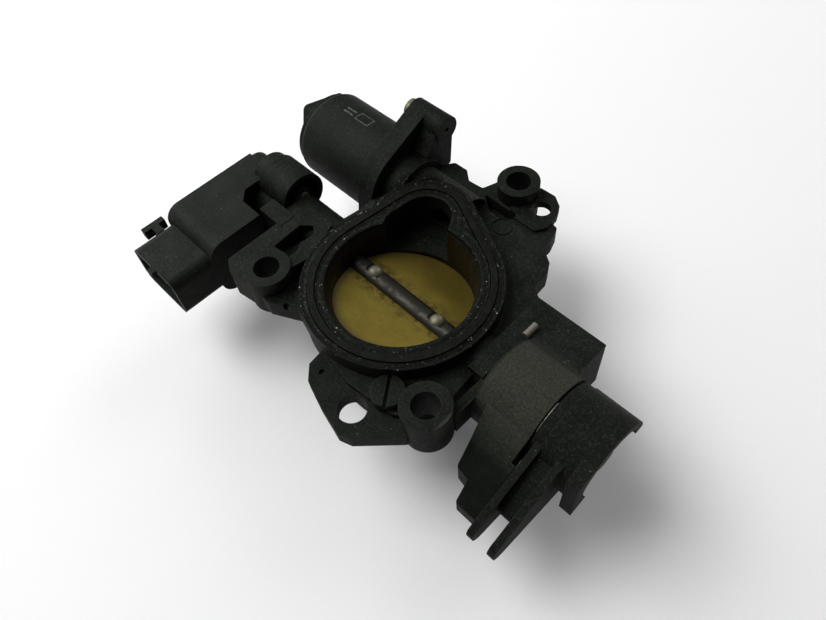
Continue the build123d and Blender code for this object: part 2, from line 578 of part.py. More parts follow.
def cable_quadrant():
    """Moving hub with two cable flanges, the groove between them, and the end lug."""
    hub = cyl_x(SKIRT_R, SKIRT_X0, SKIRT_X1 + 1) + cyl_x(HUB_R, SKIRT_X1, HUB_X1)
    x_a = GUARD_X1 + 0.4
    x_b = x_a + CABLE_FLANGE_T + CABLE_GROOVE_W
    outline = Plane.YZ * horn_outline(HORN_R, HUB_R - 2.2, 4.2)
    core = Plane.YZ * horn_outline(GROOVE_HORN_R, HUB_R - 3.5, 3.0)
    hub += Pos(x_a, 0, 0) * extrude(outline, CABLE_FLANGE_T)
    hub += Pos(x_b, 0, 0) * extrude(outline, CABLE_FLANGE_T)
    hub += Pos(x_a, 0, 0) * extrude(core, CABLE_FLANGE_T + CABLE_GROOVE_W)
    lug = [(-3.5, SHAFT_Z + 14.5), (-16.2, SHAFT_Z + 9.6), (-16.2, SHAFT_Z - 14.5),
           (-4, SHAFT_Z - 13)]
    hub += prism_x(lug, HUB_X1 - 4.2, HUB_X1, 0.5)
    hub -= cyl_x(HUB_R - HUB_WALL, HUB_FLOOR_X, HUB_X1 + 1)
    hub -= prism_x(hood_cut(), HOOD_X0, HUB_X1 + 1)
    hub -= cyl_x(LEVER_R + 0.1, SKIRT_X0 - 1, LEVER_X1)
    hub -= lever_arms()
    hub -= shaft_flats(LEVER_X0, HUB_FLOOR_X + 1)
    return hub


def nut_washer():
    return ring_x(NUT_R + 1, SHAFT_R + 0.15, HUB_FLOOR_X, HUB_FLOOR_X + 1.0)


def shaft_nut():
    hexagon = extrude(Plane.YZ * RegularPolygon(NUT_R, 6), NUT_T)
    nut = Pos(HUB_FLOOR_X + 1.0, 0, SHAFT_Z) * hexagon
    return nut - cyl_x(SHAFT_R, HUB_FLOOR_X, SHAFT_X1 + 6)


def stop_screw():
    """Slotted grub screw that sets the closed position."""
    middle = FINGER_HALF_W + STOP_SCREW_GAP + STOP_SCREW_L / 2
    screw = Pos(0, STOP_R, middle) * Cylinder(STOP_SCREW_R, STOP_SCREW_L)
    screw -= Pos(0, STOP_R, FINGER_HALF_W + STOP_SCREW_L + 0.1) * Box(0.8, 6, 1.4)
    return Pos((LEVER_X0 + LEVER_X1) / 2, 0, SHAFT_Z) * Rot(FINGER_ANGLE, 0, 0) * screw


def stop_screw_nut():
    nut = extrude(RegularPolygon(3.6, 6), 2.2) - Cylinder(STOP_SCREW_R, 20)
    nut = Pos(0, STOP_R, FINGER_HALF_W + 9.0) * nut
    return Pos((LEVER_X0 + LEVER_X1) / 2, 0, SHAFT_Z) * Rot(FINGER_ANGLE, 0, 0) * nut


def channel_plug():
    plug = cyl_z(PLUG_R, PLUG_TOP_Z - PLUG_T, PLUG_TOP_Z, PLUG_X, PLUG_Y)
    slot = Pos(PLUG_X, PLUG_Y, PLUG_TOP_Z) * Rot(0, 0, -54) * Box(2 * PLUG_R + 1, 1.3, 2.4)
    return plug - slot


# ================================================================ position sensor
def sensor_outline(inset):
    """Plan outline of the sensor case, offset inwards."""
    return [(SENSOR_X0 + SENSOR_LID_T, SENSOR_Y0 + inset), (SENSOR_X1 - inset, SENSOR_Y0 + inset),
            (SENSOR_X1 - inset, SENSOR_STEP_Y - inset), (SENSOR_STEP_X - inset, SENSOR_STEP_Y - inset),
            (SENSOR_MOUNT_X - inset, SENSOR_STEP_Y + 4 - inset),
            (SENSOR_MOUNT_X - inset, SENSOR_Y1 - inset), (SENSOR_X0 + SENSOR_LID_T, SENSOR_Y1 - inset)]


def sensor_case():
    """Outside of the sensor case with its plug shroud, latch block and rib."""
    case = prism_z(sensor_outline(0.0), SENSOR_Z0, SENSOR_Z1)
    case &= rounded_block_x(SENSOR_X0, SENSOR_X1 + 5, SENSOR_Y0, SENSOR_Y1,
                            SENSOR_Z0, SENSOR_Z1, SENSOR_CORNER)
    case += cyl_x(LUG_R - 1.0, SENSOR_MOUNT_X - 4, SENSOR_MOUNT_X, LUG_Y, LUG_Z)
    shell = block(CONN_X0, CONN_X1, CONN_Y0, SENSOR_Y0 + 1, CONN_Z0, CONN_Z1)
    case += fillet(shell.edges().filter_by(Axis.Y), 4.0)
    case += block(CONN_X0 - 5, CONN_X0 + 1, -43, -40, NUB_Z0, NUB_Z1)
    case += block(CONN_X0 - 5.5, CONN_X0 - 3, -46, -37.2, NUB_Z0, NUB_Z1)
    middle = (CONN_X0 + CONN_X1) / 2
    rib_x0, rib_x1 = middle - 0.25, middle + 2.75
    return case + block(rib_x0, rib_x1, CONN_Y0 - 1.8, CONN_Y0 + 3, CONN_Z1 - 1.8, CONN_Z1 - 0.2)


def sensor_hollow():
    """Space inside the sensor case, open on the cover side."""
    y0, y1 = SENSOR_Y0 + SENSOR_WALL, SENSOR_Y1 - SENSOR_WALL
    z0, z1 = SENSOR_Z0 + SENSOR_WALL, SENSOR_Z1 - SENSOR_WALL
    hollow = prism_z(sensor_outline(SENSOR_WALL), z0, z1)
    hollow += block(SENSOR_X0, SENSOR_X0 + 3.5, y0, y1, z0, z1)
    return hollow & rounded_block_x(SENSOR_X0 - 2, 0, y0, y1, z0, z1, SENSOR_CORNER - SENSOR_WALL)


def sensor_housing():
    case = sensor_case() - sensor_hollow()
    case -= block(CONN_X0 + CONN_WALL, CONN_X1 - CONN_WALL, CONN_Y0 - 1, SENSOR_Y0 - SENSOR_WALL,
                  CONN_Z0 + CONN_WALL, CONN_Z1 - CONN_WALL)
    for y, z in SENSOR_SCREWS:
        case += cyl_x(2 * SENSOR_SCREW_R, SENSOR_X0 + SENSOR_LID_T, SENSOR_MOUNT_X, y, z)
        case -= cyl_x(SENSOR_SCREW_R, SENSOR_X0, SENSOR_MOUNT_X + 1, y, z)
        case -= cyl_x(SENSOR_HEAD_R + 0.2, SENSOR_X0, SENSOR_X0 + 5, y, z)
    case -= cyl_x(SHAFT_R + 0.85, SENSOR_MOUNT_X - 3, SENSOR_MOUNT_X + 1)
    case -= sensor_seal_ring(SENSOR_MOUNT_X + 1)
    for x in sensor_pin_places():
        case -= terminal(x)
    return case


def sensor_pin_places():
    middle = (CONN_X0 + CONN_X1) / 2
    return [middle - BLADE_PITCH, middle, middle + BLADE_PITCH]


def terminal(x):
    """One flat blade of the sensor plug."""
    z = (CONN_Z0 + CONN_Z1) / 2
    return block(x - BLADE_W / 2, x + BLADE_W / 2, CONN_Y0 + 4, SENSOR_Y0 + 6,
                 z - BLADE_T / 2, z + BLADE_T / 2)


def sensor_terminals():
    return Compound(children=[terminal(x) for x in sensor_pin_places()])


def sensor_cover():
    inset = SENSOR_LID_INSET
    lid = rounded_block_x(SENSOR_X0, SENSOR_X0 + SENSOR_LID_T, SENSOR_Y0 + inset, SENSOR_Y1 - inset,
                          SENSOR_Z0 + inset, SENSOR_Z1 - inset, SENSOR_CORNER)
    for y, z in SENSOR_SCREWS:
        lid -= cyl_x(2 * SENSOR_SCREW_R + 0.1, SENSOR_X0 - 1, SENSOR_X0 + 5, y, z)
    return lid


def sensor_rotor():
    rotor = cyl_x(ROTOR_R, SENSOR_MOUNT_X - 9.0, SENSOR_MOUNT_X - 2.6)
    flats = block(SHAFT_X0, 0, -6, 6, SHAFT_Z - TANG_FLAT, SHAFT_Z + TANG_FLAT)
    return rotor - (cyl_x(SHAFT_R, SHAFT_X0, 0) & flats)


def sensor_wiper():
    x1 = SENSOR_MOUNT_X - 9.0
    return block(x1 - WIPER_T, x1, -ROTOR_R, 2.0, SHAFT_Z - 1.5, SHAFT_Z + 1.5)


def sensor_track():
    plate = rounded_block_x(TRACK_X0, TRACK_X0 + TRACK_T, TRACK_Y0, TRACK_Y1,
                            SENSOR_Z0 + 4, SENSOR_Z1 - 4, 1.5)
    for y, z in SENSOR_SCREWS:
        plate -= cyl_x(2 * SENSOR_SCREW_R + 0.4, TRACK_X0 - 1, TRACK_X0 + TRACK_T + 1, y, z)
    return plate


def sensor_seal_ring(x1):
    """Seal ring round the shaft, sunk in the face of the sensor case."""
    return ring_x(RING_R, RING_INNER_R, SENSOR_MOUNT_X - RING_DEPTH, x1)


def sensor_seal():
    return sensor_seal_ring(SENSOR_MOUNT_X + CARRIER_GAP)


def sensor_screws():
    screws = []
    for y, z in SENSOR_SCREWS:
        shank = cyl_x(SENSOR_SCREW_R, SENSOR_X0 + 3, LUG_X1 + 0.8, y, z)
        head = cyl_x(SENSOR_HEAD_R, SENSOR_X0 + 2.6, SENSOR_X0 + 5, y, z)
        head -= block(SENSOR_X0 + 2, SENSOR_X0 + 3.6, y - 0.4, y + 0.4, z - 2.2, z + 2.2)
        head -= block(SENSOR_X0 + 2, SENSOR_X0 + 3.6, y - 2.2, y + 2.2, z - 0.4, z + 0.4)
        screws.append(shank + head)
    return Compound(children=screws)


# ================================================================ idle air motor
def motor_can():
    can = cyl_x(CAN_R, CAN_X0, CAN_X1, MOTOR_Y, MOTOR_Z)
    can = fillet(can.edges().filter_by(GeomType.CIRCLE).sort_by(Axis.X)[0], 2.0)
    can -= cyl_x(CAN_R - CAN_WALL, CAN_X0 + CAN_WALL, CAN_X1 + 1, MOTOR_Y, MOTOR_Z)
    return can - cyl_x(3.0, CAN_X0 - 1, CAN_X0 + 3, MOTOR_Y, MOTOR_Z)


def motor_flange():
    disc = Circle(CAN_R).edges()
    for sign in (1, -1):
        disc += (Pos(sign * EAR_DY, sign * EAR_DZ) * Circle(EAR_R)).edges()
    plate = Plane.YZ * Pos(MOTOR_Y, MOTOR_Z) * make_hull(disc)
    flange = Pos(CAN_X1, 0, 0) * extrude(plate, PAD_X0 - CAN_X1)
    flange += cyl_x(CHAMBER_R - 0.2, CAN_X1, PAD_X0 + NOSE_L, MOTOR_Y, MOTOR_Z)
    flange -= cyl_x(STEM_R + 0.1, CAN_X1 - 1, PAD_X0 + NOSE_L + 1, MOTOR_Y, MOTOR_Z)
    flange -= ring_x(CHAMBER_R + 1, CHAMBER_R - 1.4, PAD_X0 + 1.5, PAD_X0 + 3.5, MOTOR_Y, MOTOR_Z)
    for y, z in MOTOR_EARS:
        flange -= cyl_x(EAR_SCREW_R, CAN_X1 - 1, PAD_X0 + 1, y, z)
    return flange


def motor_seal():
    return ring_x(CHAMBER_R, CHAMBER_R - 1.4, PAD_X0 + 1.6, PAD_X0 + 3.4, MOTOR_Y, MOTOR_Z)


def motor_coils():
    x1 = CAN_X1 - 2
    coils = ring_x(CAN_R - CAN_WALL, COIL_R, x1 - COIL_L, x1, MOTOR_Y, MOTOR_Z)
    return coils - ring_x(CAN_R, CAN_R - 4, x1 - 14, x1 - 12, MOTOR_Y, MOTOR_Z)


def motor_rotor():
    x1 = CAN_X1 - 3
    rotor = cyl_x(MAGNET_R, x1 - MAGNET_L, x1, MOTOR_Y, MOTOR_Z)
    rotor += cyl_x(JOURNAL_R, x1 - MAGNET_L - 4, x1 - MAGNET_L + 1, MOTOR_Y, MOTOR_Z)
    return rotor - cyl_x(STEM_R + 0.06, x1 - 40, x1 + 1, MOTOR_Y, MOTOR_Z)


def motor_bearing():
    x1 = CAN_X1 - 3 - MAGNET_L
    return ring_x(BEARING_R, JOURNAL_R + BEARING_GAP, x1 - 5, x1 - 0.4, MOTOR_Y, MOTOR_Z)


def valve_pintle():
    """Screw stem with the valve cone, drawn fully back from its seat."""
    stem = cyl_x(STEM_R, CAN_X1 - 26, CONE_X0 + 1, MOTOR_Y, MOTOR_Z)
    cone = Cone(PINTLE_R, PINTLE_TIP_R, CONE_L)
    return stem + Pos(CONE_X0 + CONE_L / 2, MOTOR_Y, MOTOR_Z) * Rot(0, 90, 0) * cone


def pintle_spring():
    x0 = PAD_X0 + NOSE_L + SPRING_END_GAP
    length = CONE_X0 - SPRING_END_GAP - x0
    path = Helix(length / 3, length, 4.9)
    coil = sweep(Plane(path @ 0, z_dir=path % 0) * Circle(0.4), path, is_frenet=True)
    return Pos(x0, MOTOR_Y, MOTOR_Z) * Rot(0, 90, 0) * coil


def rear_frame(x):
    """Frame of the rear plug housing, which is turned about the motor axis."""
    return Pos(x, MOTOR_Y, MOTOR_Z) * Rot(-REAR_TURN, 0, 0)


def motor_connector():
    """Rear cap of the motor with its plug socket."""
    block_face = Plane.YZ * RectangleRounded(REAR_W, REAR_H, 2.0)
    mouth_face = Plane.YZ * RectangleRounded(REAR_W - 2 * REAR_WALL, REAR_H - 2 * REAR_WALL, 1.2)
    cap = cyl_x(CAN_R - 1.5, CAN_X0 - 2.0, CAN_X0, MOTOR_Y, MOTOR_Z)
    cap += rear_frame(CAN_X0 - REAR_L) * extrude(block_face, REAR_L)
    cap -= rear_frame(CAN_X0 - REAR_L - 1) * extrude(mouth_face, REAR_L - 1.2)
    for pin in motor_pins():
        cap -= pin
    return cap


def motor_pins():
    pins = []
    for dy in (-3.5, 3.5):
        for dz in (-4.5, 4.5):
            pins.append(rear_frame(CAN_X0 - 2.5) * Pos(0, dy, dz) * Box(5.0, 1.0, 1.0))
    return pins


def motor_terminals():
    return Compound(children=motor_pins())


def motor_screws():
    screws = []
    for y, z in MOTOR_EARS:
        shank = cyl_x(EAR_SCREW_R, CAN_X1 - 0.5, EAR_BOSS_X1 - 4, y, z)
        head = cyl_x(EAR_HEAD_R, CAN_X1 - EAR_HEAD_T, CAN_X1, y, z)
        head -= Pos(CAN_X1 - EAR_HEAD_T, y, z) * Rot(0, 90, 0) * extrude(RegularPolygon(1.8, 6), 1.6)
        screws.append(shank + head)
    return Compound(children=screws)


PARTS = {
    "throttle_body": throttle_body,
    "face_seal": face_seal,
    "left_bush": lambda: bush(-1),
    "right_bush": lambda: bush(1),
    "left_shaft_seal": lambda: shaft_seal(-1),
    "right_shaft_seal": lambda: shaft_seal(1),
    "throttle_shaft": throttle_shaft,
    "throttle_plate": throttle_plate,
    "plate_screws": plate_screws,
    "return_spring": return_spring,
    "lever_plate": lever_plate,
    "cable_quadrant": cable_quadrant,
    "nut_washer": nut_washer,
    "shaft_nut": shaft_nut,
    "stop_screw": stop_screw,
    "stop_screw_nut": stop_screw_nut,
    "retaining_pin": pin_shape,
    "channel_plug": channel_plug,
    "sensor_housing": sensor_housing,
    "sensor_cover": sensor_cover,
    "sensor_rotor": sensor_rotor,
    "sensor_wiper": sensor_wiper,
    "sensor_track": sensor_track,
    "sensor_terminals": sensor_terminals,
    "sensor_seal": sensor_seal,
    "sensor_screws": sensor_screws,
    "motor_can": motor_can,
    "motor_flange": motor_flange,
    "motor_seal": motor_seal,
    "motor_coils": motor_coils,
    "motor_rotor": motor_rotor,
    "motor_bearing": motor_bearing,
    "valve_pintle": valve_pintle,
    "pintle_spring": pintle_spring,
    "motor_connector": motor_connector,
    "motor_terminals": motor_terminals,
    "motor_screws": motor_screws,
}

os.makedirs("parts", exist_ok=True)
for node, make in PARTS.items():
    export_step(make(), f"parts/{node}.step")
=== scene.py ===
import logging
import math
from dataclasses import dataclass, field
from enum import Enum
from typing import Optional, Sequence, Union

import bmesh
import bpy
from mathutils import Matrix, Vector


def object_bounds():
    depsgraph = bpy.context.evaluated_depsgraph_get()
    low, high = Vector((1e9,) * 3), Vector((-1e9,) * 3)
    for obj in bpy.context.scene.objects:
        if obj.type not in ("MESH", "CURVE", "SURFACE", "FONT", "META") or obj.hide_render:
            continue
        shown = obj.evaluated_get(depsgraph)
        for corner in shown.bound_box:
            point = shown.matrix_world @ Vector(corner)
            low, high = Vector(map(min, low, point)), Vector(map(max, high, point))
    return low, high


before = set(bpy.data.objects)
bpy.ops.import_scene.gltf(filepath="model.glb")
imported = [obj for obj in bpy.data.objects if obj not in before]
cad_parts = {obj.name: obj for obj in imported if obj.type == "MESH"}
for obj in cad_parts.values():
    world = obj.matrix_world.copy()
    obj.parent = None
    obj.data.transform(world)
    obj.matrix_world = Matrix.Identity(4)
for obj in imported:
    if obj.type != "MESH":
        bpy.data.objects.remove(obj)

CAD_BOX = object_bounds()
LOG = logging.getLogger("throttle_body")
MM = 0.001
Colour = tuple[float, float, float]


# ---------------------------------------------------------------- shader toolkit
class Value:
    """A shader socket that can be used in Python expressions."""

    def __init__(self, graph: "Graph", socket: bpy.types.NodeSocket) -> None:
        """Wrap a socket.

        Args:
            graph: The material graph that owns the socket.
            socket: The output socket whose value this stands for.
        """
        self.graph = graph
        self.socket = socket

    def maths(self, operation: str, *terms: "Number") -> "Value":
        """Add one Math node.

        Args:
            operation: The Math node's operation.
            terms: Its inputs, in order.

        Returns:
            The node's result.
        """
        return self.graph.node("ShaderNodeMath", {"operation": operation}, dict(enumerate(terms)))

    def __add__(self, other: "Number") -> "Value":
        """Sum."""
        return self.maths("ADD", self, other)

    def __radd__(self, other: "Number") -> "Value":
        """Sum with a plain number first."""
        return self.maths("ADD", other, self)

    def __sub__(self, other: "Number") -> "Value":
        """Difference."""
        return self.maths("SUBTRACT", self, other)

    def __rsub__(self, other: "Number") -> "Value":
        """Difference with a plain number first."""
        return self.maths("SUBTRACT", other, self)

    def __mul__(self, other: "Number") -> "Value":
        """Product."""
        return self.maths("MULTIPLY", self, other)

    def __rmul__(self, other: "Number") -> "Value":
        """Product with a plain number first."""
        return self.maths("MULTIPLY", other, self)

    def __truediv__(self, other: "Number") -> "Value":
        """Quotient."""
        return self.maths("DIVIDE", self, other)

    def __pow__(self, other: "Number") -> "Value":
        """Power."""
        return self.maths("POWER", self, other)

    def __abs__(self) -> "Value":
        """Absolute value."""
        return self.maths("ABSOLUTE", self)

    def at_most(self, limit: "Number") -> "Value":
        """The smaller of this and a limit."""
        return self.maths("MINIMUM", self, limit)

    def at_least(self, limit: "Number") -> "Value":
        """The larger of this and a limit."""
        return self.maths("MAXIMUM", self, limit)

    def sine(self) -> "Value":
        """Sine, of radians."""
        return self.maths("SINE", self)

    def rising(self, start: float, end: float) -> "Value":
        """Smooth step from 0 at start to 1 at end; start may be the larger.

        Args:
            start: Where the step begins.
            end: Where the step is complete.

        Returns:
            A mask between 0 and 1.
        """
        settings = {"interpolation_type": "SMOOTHSTEP"}
        if start < end:
            return self.graph.node("ShaderNodeMapRange", settings, {0: self, 1: start, 2: end})
        return 1.0 - self.graph.node("ShaderNodeMapRange", settings, {0: self, 1: end, 2: start})


Number = Union[Value, float]
Tint = Union[Value, Colour]


class Graph:
    """Node graph of one material, with a principled shader at its end."""

    def __init__(self, name: str) -> None:
        """Make an empty material.

        Args:
            name: The material's name.
        """
        self.material = bpy.data.materials.new(name)
        self.material.use_nodes = True
        self.tree = self.material.node_tree
        self.shader = self.tree.nodes["Principled BSDF"]
        self._place: Optional[Value] = None

    def node(self, kind: str, settings: Optional[dict] = None, inputs: Optional[dict] = None,
             output: Union[int, str] = 0) -> Value:
        """Add a node of any kind.

        Args:
            kind: The node's type.
            settings: Properties that are set first.
            inputs: Socket values or links, by name or number.
            output: Which output is returned.

        Returns:
            The chosen output.
        """
        made = self.tree.nodes.new(kind)
        for name, setting in (settings or {}).items():
            setattr(made, name, setting)
        for name, value in (inputs or {}).items():
            self._feed(made.inputs[name], value)
        return Value(self, made.outputs[output])

    def _feed(self, socket: bpy.types.NodeSocket, value: Union[Number, Tint]) -> None:
        """Link or set one input socket.

        Args:
            socket: The socket to feed.
            value: A shader value, a number, or a colour or vector.
        """
        if isinstance(value, Value):
            self.tree.links.new(value.socket, socket)
        elif socket.type == "RGBA":
            socket.default_value = (*value[:3], 1.0)
        else:
            socket.default_value = value

    def set(self, **constants: Union[float, Colour]) -> None:
        """Set constants on the shader; underscores stand for spaces in the names."""
        for name, value in constants.items():
            self._feed(self.shader.inputs[name.replace("_", " ")], value)

    def finish(self, colour: Tint, roughness: Number, normal: Optional[Value] = None,
               metallic: Number = 0.0) -> bpy.types.Material:
        """Connect what changes over the surface.

        Args:
            colour: Base colour.
            roughness: Roughness.
            normal: Bumped normal.
            metallic: Metallic.

        Returns:
            The finished material.
        """
        self._feed(self.shader.inputs["Base Color"], colour)
        self._feed(self.shader.inputs["Roughness"], roughness)
        self._feed(self.shader.inputs["Metallic"], metallic)
        if normal is not None:
            self._feed(self.shader.inputs["Normal"], normal)
        return self.material

    def place(self) -> Value:
        """Position in the part's own frame, in millimetres."""
        if self._place is None:
            coords = self.node("ShaderNodeTexCoord", output="Object")
            self._place = self.node("ShaderNodeVectorMath", {"operation": "SCALE"},
                                    {0: coords, "Scale": 1000.0})
        return self._place

    def axes(self) -> tuple[Value, Value, Value]:
        """The three components of the position, in millimetres."""
        split = self.node("ShaderNodeSeparateXYZ", None, {0: self.place()})
        outputs = split.socket.node.outputs
        return Value(self, outputs[0]), Value(self, outputs[1]), Value(self, outputs[2])

    def facing_up(self) -> Value:
        """Z component of the surface normal in the part's own frame."""
        normal = self.node("ShaderNodeTexCoord", output="Normal")
        return self.node("ShaderNodeSeparateXYZ", None, {0: normal}, output=2)

    def stretched(self, scale: Sequence[float]) -> Value:
        """Position stretched along its axes.

        Args:
            scale: Factor for each axis.

        Returns:
            The stretched position.
        """
        return self.node("ShaderNodeVectorMath", {"operation": "MULTIPLY"},
                         {0: self.place(), 1: tuple(scale)})

    def noise(self, size: float, detail: float = 4.0, rough: float = 0.55, twist: float = 0.0,
              place: Optional[Value] = None) -> Value:
        """Cloudy noise.

        Args:
            size: Size of its features in millimetres.
            detail: Number of octaves.
            rough: Strength of the finer octaves.
            twist: Distortion.
            place: Position to read, the plain one if left out.

        Returns:
            Noise between 0 and 1.
        """
        return self.node("ShaderNodeTexNoise", None,
                         {"Vector": place or self.place(), "Scale": 1.0 / size, "Detail": detail,
                          "Roughness": rough, "Distortion": twist})

    def specks(self, spacing: float, radius: float, share: float) -> Value:
        """Small scattered spots.

        Args:
            spacing: Distance between possible spots in millimetres.
            radius: Spot radius as a share of the spacing.
            share: Share of the possible spots that show.

        Returns:
            A mask between 0 and 1.
        """
        cell = {"Vector": self.place(), "Scale": 1.0 / spacing}
        distance = self.node("ShaderNodeTexVoronoi", None, cell, output="Distance")
        shade = self.node("ShaderNodeTexVoronoi", None, cell, output="Color")
        chance = self.node("ShaderNodeSeparateColor", None, {0: shade})
        return distance.rising(radius, radius * 0.5) * chance.rising(1.0 - share, 1.0 - share * 0.5)

    def edges(self, radius: float) -> Value:
        """Mask of the sharp edges, where wear shows.

        Args:
            radius: Width of the worn band in millimetres.

        Returns:
            A mask between 0 and 1.
        """
        rounded = self.node("ShaderNodeBevel", {"samples": 4}, {"Radius": radius * MM})
        plain = self.node("ShaderNodeNewGeometry", output="Normal")
        match = self.node("ShaderNodeVectorMath", {"operation": "DOT_PRODUCT"},
                          {0: rounded, 1: plain}, output="Value")
        return match.rising(0.995, 0.8)

    def mix(self, factor: Number, first: Tint, second: Tint, mode: str = "MIX") -> Value:
        """Blend two colours.

        Args:
            factor: Share of the second colour.
            first: First colour.
            second: Second colour.
            mode: How they blend.

        Returns:
            The blended colour.
        """
        return self.node("ShaderNodeMix", {"data_type": "RGBA", "blend_type": mode},
                         {0: factor, 6: first, 7: second}, output=2)

    def bump(self, height: Value, depth: float, soften: float = 0.0) -> Value:
        """Normal of a relief.

        Args:
            height: Relief between 0 and 1.
            depth: Depth of the relief in millimetres.
            soften: Radius in millimetres to which sharp edges are rounded.

        Returns:
            The bumped normal.
        """
        inputs: dict = {"Height": height, "Distance": depth * MM, "Strength": 1.0}
        if soften:
            inputs["Normal"] = self.node("ShaderNodeBevel", {"samples": 4}, {"Radius": soften * MM})
        return self.node("ShaderNodeBump", None, inputs)


# ---------------------------------------------------------------- finishes
# Colours of what has settled on the plastic and of what shows where it is worn, with a painted highlight on
# the drum and painted shade on the guard.
BROWN_FILM: Colour = (0.0095, 0.009, 0.006)
PALE_FIBRE: Colour = (0.028, 0.031, 0.025)
DARK_PIT: Colour = (0.001, 0.001, 0.0008)
DUST: Colour = (0.12, 0.12, 0.1)
WORN_EDGE: Colour = (0.034, 0.032, 0.025)
RIM_OIL: Colour = (0.0035, 0.0036, 0.0028)
RIM_TAR: Colour = (0.0018, 0.0018, 0.0014)
CAKED_DIRT: Colour = (0.022, 0.0235, 0.019)
CRUMB: Colour = (0.36, 0.36, 0.33)
TAR: Colour = (0.005, 0.003, 0.0013)
THIN_TAR: Colour = (0.013, 0.0085, 0.004)
# dust on the drum together with a painted highlight
DRUM_DUST_AND_HIGHLIGHT: Colour = (0.055, 0.053, 0.043)
# painted shade on the guard's side
GUARD_PAINTED_SHADE: Colour = (0.0008, 0.0008, 0.0006)
GREEN_SHEEN: Colour = (0.86, 1.0, 0.84)      # tint of the highlights


class Grime(Enum):
    """What has settled on a moulded surface, as film colour and strength."""

    DUSTY = ((0.0105, 0.0128, 0.0098), 0.9)
    HANDLED = ((0.0072, 0.0086, 0.0068), 0.75)
    OILY = ((0.004, 0.0042, 0.003), 0.6)


@dataclass(frozen=True)
class MouldedPlastic:
    """Black glass-filled plastic with film, scuffs and pale worn edges."""

    name: str
    base: Colour = (0.0018, 0.0022, 0.0017)
    grime: Grime = Grime.DUSTY
    grain: float = 0.8
    roughness: float = 0.58
    wear: float = 0.5
    soften: float = 0.35

    def surface(self, graph: Graph) -> tuple[Value, Value, Value]:
        """Build colour, roughness and relief.

        Args:
            graph: The graph to build in.

        Returns:
            Colour, roughness and relief height.
        """
        film, strength = self.grime.value
        clouds = graph.noise(14.0, 5.0, 0.6, 0.4)
        patches = graph.noise(3.2, 4.0, 0.6)
        fibres = graph.noise(self.grain, 3.0, 0.7)
        settled = graph.facing_up().rising(-0.4, 0.9)
        cover = clouds.rising(0.3, 0.7) * (0.45 + 0.55 * settled) * strength
        colour = graph.mix(cover, self.base, film)
        colour = graph.mix(patches.rising(0.45, 0.75) * 0.3, colour, BROWN_FILM)
        colour = graph.mix(fibres.rising(0.5, 0.72) * 0.7 * (0.3 + 0.7 * settled), colour,
                           PALE_FIBRE)
        colour = graph.mix(fibres.rising(0.48, 0.3) * 0.6, colour, DARK_PIT)
        dust = graph.specks(2.2, 0.13, 0.4) * clouds.rising(0.4, 0.6)
        colour = graph.mix(dust * 0.7, colour, DUST)
        worn = graph.edges(0.7) * patches.rising(0.25, 0.55) * self.wear
        colour = graph.mix(worn, colour, WORN_EDGE)
        scuffs = graph.noise(2.0, 3.0, 0.7, 0.0, graph.stretched((0.25, 1.0, 0.6)))
        gloss = self.roughness + 0.14 * patches - 0.12 * scuffs.rising(0.5, 0.8)
        relief = fibres * 0.6 + clouds * 0.9 + patches * 0.4
        return colour, gloss, relief

    def material(self) -> bpy.types.Material:
        """The finished material."""
        graph = Graph(self.name)
        graph.set(Specular_IOR_Level=0.1, Specular_Tint=GREEN_SHEEN)
        colour, gloss, relief = self.surface(graph)
        return graph.finish(colour, gloss, graph.bump(relief, 0.16, self.soften))


